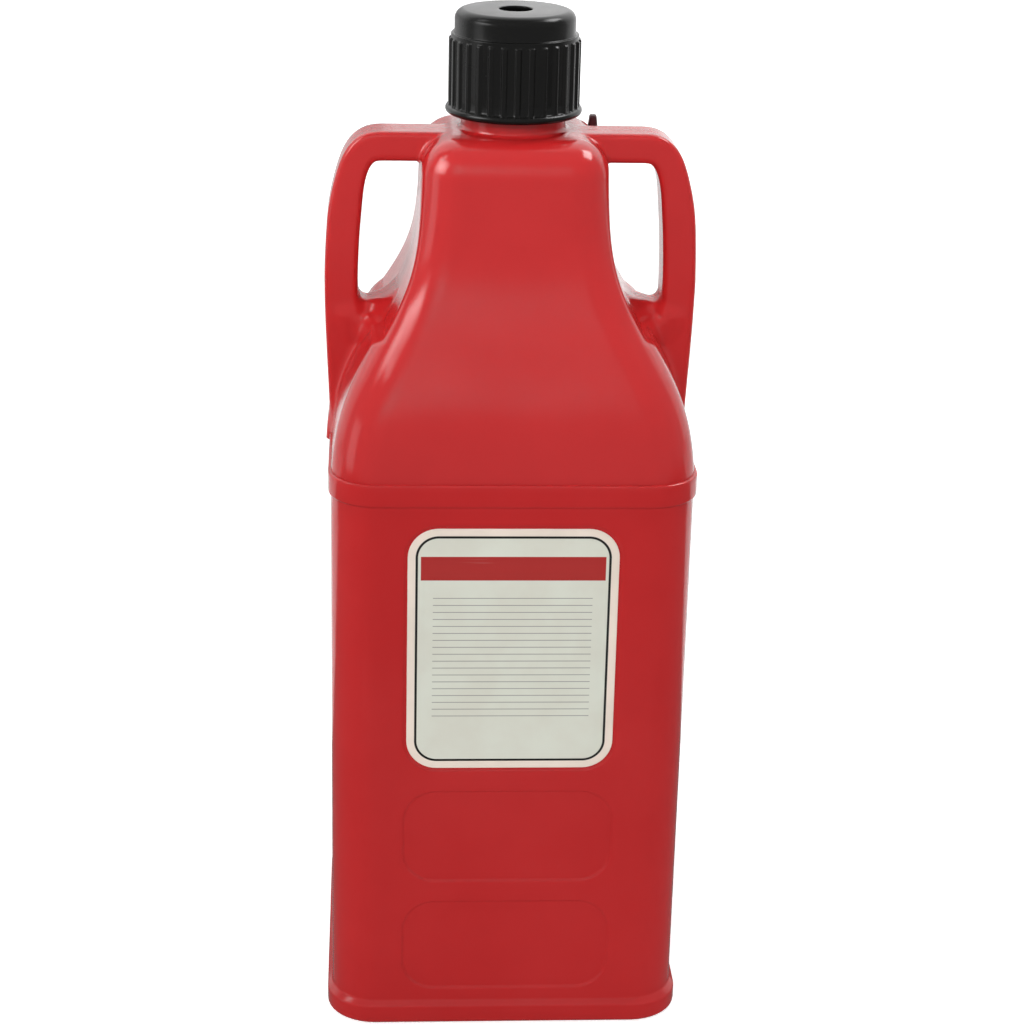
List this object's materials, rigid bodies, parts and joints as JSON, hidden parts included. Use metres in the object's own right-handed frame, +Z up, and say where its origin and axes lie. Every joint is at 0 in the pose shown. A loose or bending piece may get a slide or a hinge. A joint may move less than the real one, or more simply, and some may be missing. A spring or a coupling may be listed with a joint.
{
  "type": "gas can",
  "caption": "Tall square moulded utility gas can with loop handles, a ribbed screw cap over a threaded neck, a screwed vent and a blank label.",
  "frame": {"origin": "on the ground under the middle of the tank", "axes": "+Z up along the neck's axis, front with the label towards -Y, vent on the +X side"},
  "size_m": [0.313, 0.309, 0.8628],
  "materials": {
    "tank_plastic": "glossy moulded red",
    "cap_plastic": "satin moulded black",
    "seal_rubber": "matte",
    "vent_plastic": "satin moulded",
    "label_sheet": "matte printed sheet"
  },
  "bodies": {
    "tank": {"tank_shell": "tank_plastic", "vent_bush": "vent_plastic", "front_label": "label_sheet"},
    "seal": {"cap_seal_disc": "cap_plastic", "cap_gasket": "seal_rubber"},
    "cap": {"screw_cap": "cap_plastic"},
    "vent_seal": {"vent_washer": "seal_rubber"},
    "vent": {"vent_plug": "vent_plastic"}
  },
  "joints": [
    {"name": "seal_lift", "type": "slide", "parent": "tank", "child": "seal", "axis": [0, 0, 1], "range_m": [0, 0.08]},
    {"name": "cap_turn", "type": "hinge", "parent": "seal", "child": "cap", "pos_m": [0, 0, 0.8], "axis": [0, 0, 1], "range_deg": [0, 3604]},
    {"name": "vent_lift", "type": "slide", "parent": "tank", "child": "vent_seal", "axis": [0, 0, 1], "range_m": [0, 0.016]},
    {"name": "vent_turn", "type": "hinge", "parent": "vent_seal", "child": "vent", "pos_m": [0.06971, 0.04, 0.75], "axis": [0, 0, 1], "range_deg": [0, 2885]}
  ],
  "couplings": [
    {"joint": "cap_turn", "follows": "seal_lift", "rad_per_m": 785.4},
    {"joint": "vent_turn", "follows": "vent_lift", "rad_per_m": 3141.6}
  ]
}
